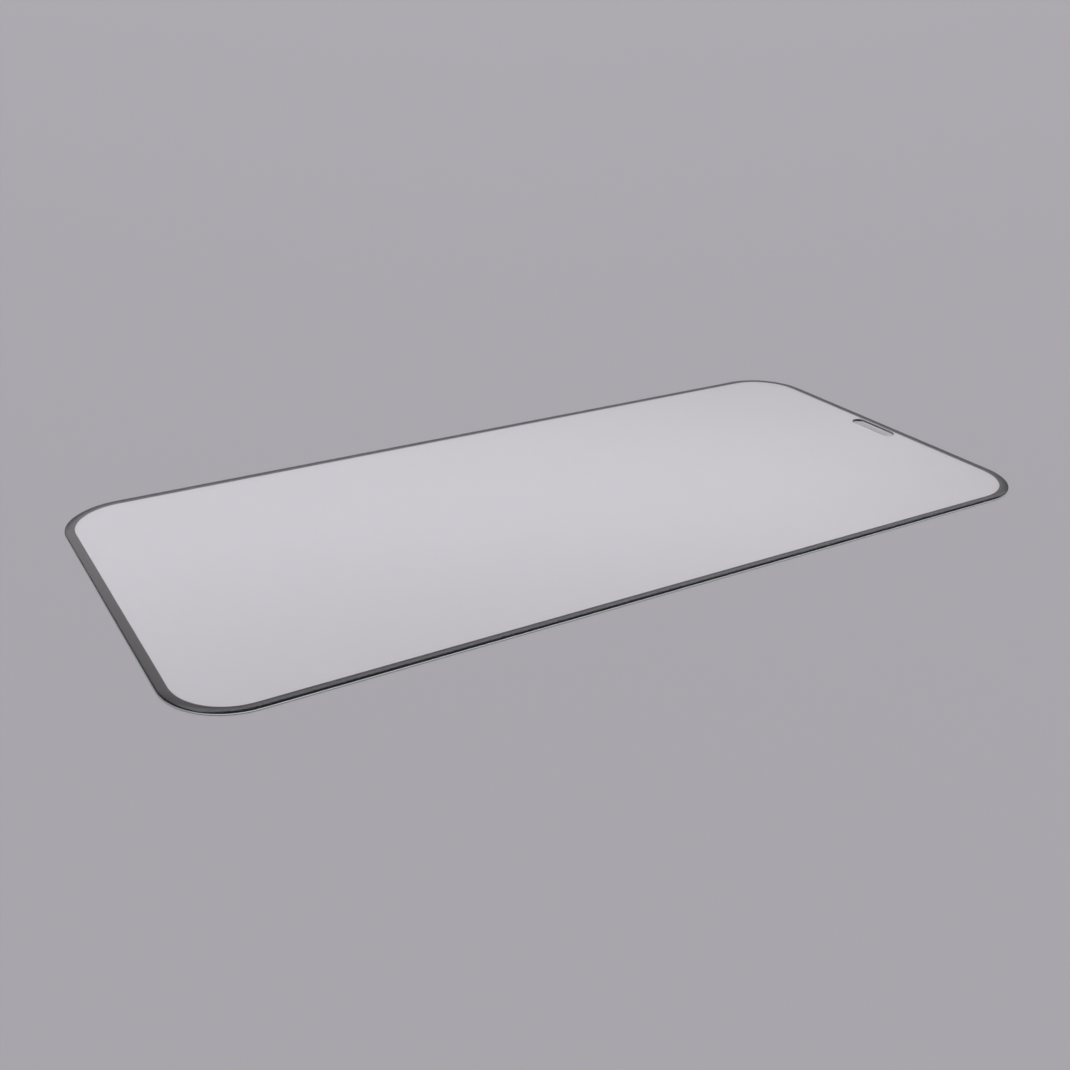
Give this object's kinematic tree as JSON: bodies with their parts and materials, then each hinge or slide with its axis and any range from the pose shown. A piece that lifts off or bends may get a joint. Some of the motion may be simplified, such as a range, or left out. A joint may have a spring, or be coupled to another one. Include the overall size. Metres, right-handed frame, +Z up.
{
  "type": "phone screen protector",
  "caption": "Thin clear glass sheet with rounded corners, a curved polished rim, an earpiece slot and a black printed border, made to stick over a phone's screen.",
  "frame": {"origin": "centre of the underside, on the surface that the sheet lies on", "axes": "+Z up out of the polished face, +Y along the length towards the earpiece slot, +X across the width"},
  "size_m": [0.0676, 0.1428, 0.0004],
  "materials": {
    "clear_glass": "polished, clear and colourless, faintly green at the cut edge",
    "black_ink": "opaque screen-print ink, satin"
  },
  "bodies": {
    "root": {"glass_panel": "clear_glass", "border_print": "black_ink"}
  },
  "joints": []
}
